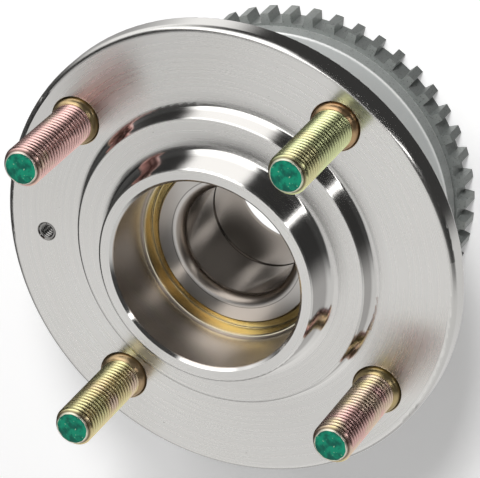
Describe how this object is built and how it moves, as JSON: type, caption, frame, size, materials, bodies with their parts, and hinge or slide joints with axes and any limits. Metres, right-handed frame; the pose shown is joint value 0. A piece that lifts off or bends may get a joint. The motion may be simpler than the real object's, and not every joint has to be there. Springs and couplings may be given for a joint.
{
  "type": "wheel hub bearing",
  "caption": "Flanged wheel hub with pressed-in studs, stepped pilots, an angular contact ball bearing on split inner rings, and a toothed speed sensor ring.",
  "frame": {"origin": "on the wheel axis, in the plane of the sensor ring's inboard end, which is the lowest plane of the part", "axes": "+Z along the wheel axis, outboard, the way the studs point; +X midway between two studs"},
  "size_m": [0.139, 0.139, 0.093],
  "materials": {
    "machined_steel": "turned, bright, satin face with polished steps",
    "sintered_iron": "matte sintered grey",
    "bearing_steel": "ground and polished",
    "ball_steel": "mirror polished",
    "spring_steel": "dark phosphate",
    "stainless_steel": "pressed sheet, satin",
    "yellow_zinc": "yellow zinc plated",
    "stud_zinc": "iridescent yellow zinc plated, green painted tip",
    "cage_nylon": "glass filled nylon",
    "seal_rubber": "moulded black"
  },
  "bodies": {
    "inner_rings": {"inner_ring_outboard": "bearing_steel", "inner_ring_inboard": "bearing_steel", "inner_ring_clip": "spring_steel", "inboard_slinger": "stainless_steel"},
    "hub": {"hub_flange": "machined_steel", "tone_ring": "sintered_iron", "bearing_outer_ring": "bearing_steel", "retaining_ring": "spring_steel", "outboard_shield": "yellow_zinc", "seal_case_outboard": "stainless_steel", "seal_lip_outboard": "seal_rubber", "seal_case_inboard": "stainless_steel", "seal_lip_inboard": "seal_rubber", "wheel_stud_1": "stud_zinc", "wheel_stud_2": "stud_zinc", "wheel_stud_3": "stud_zinc", "wheel_stud_4": "stud_zinc"},
    "outboard_ball_set": {"ball_cage_outboard": "cage_nylon", "ball_outboard_01": "ball_steel", "ball_outboard_02": "ball_steel", "ball_outboard_03": "ball_steel", "ball_outboard_04": "ball_steel", "ball_outboard_05": "ball_steel", "ball_outboard_06": "ball_steel", "ball_outboard_07": "ball_steel", "ball_outboard_08": "ball_steel", "ball_outboard_09": "ball_steel", "ball_outboard_10": "ball_steel", "ball_outboard_11": "ball_steel", "ball_outboard_12": "ball_steel", "ball_outboard_13": "ball_steel"},
    "inboard_ball_set": {"ball_cage_inboard": "cage_nylon", "ball_inboard_01": "ball_steel", "ball_inboard_02": "ball_steel", "ball_inboard_03": "ball_steel", "ball_inboard_04": "ball_steel", "ball_inboard_05": "ball_steel", "ball_inboard_06": "ball_steel", "ball_inboard_07": "ball_steel", "ball_inboard_08": "ball_steel", "ball_inboard_09": "ball_steel", "ball_inboard_10": "ball_steel", "ball_inboard_11": "ball_steel", "ball_inboard_12": "ball_steel", "ball_inboard_13": "ball_steel"}
  },
  "joints": [
    {"name": "hub_spin", "type": "hinge", "parent": "inner_rings", "child": "hub", "pos_m": [0, 0, 0.0301], "axis": [0, 0, 1], "continuous": true},
    {"name": "outboard_cage_spin", "type": "hinge", "parent": "inner_rings", "child": "outboard_ball_set", "pos_m": [0, 0, 0.03885], "axis": [0, 0, 1], "continuous": true},
    {"name": "inboard_cage_spin", "type": "hinge", "parent": "inner_rings", "child": "inboard_ball_set", "pos_m": [0, 0, 0.02135], "axis": [0, 0, 1], "continuous": true}
  ],
  "couplings": [
    {"joint": "outboard_cage_spin", "follows": "hub_spin", "ratio": 0.58386},
    {"joint": "inboard_cage_spin", "follows": "hub_spin", "ratio": 0.58386}
  ]
}
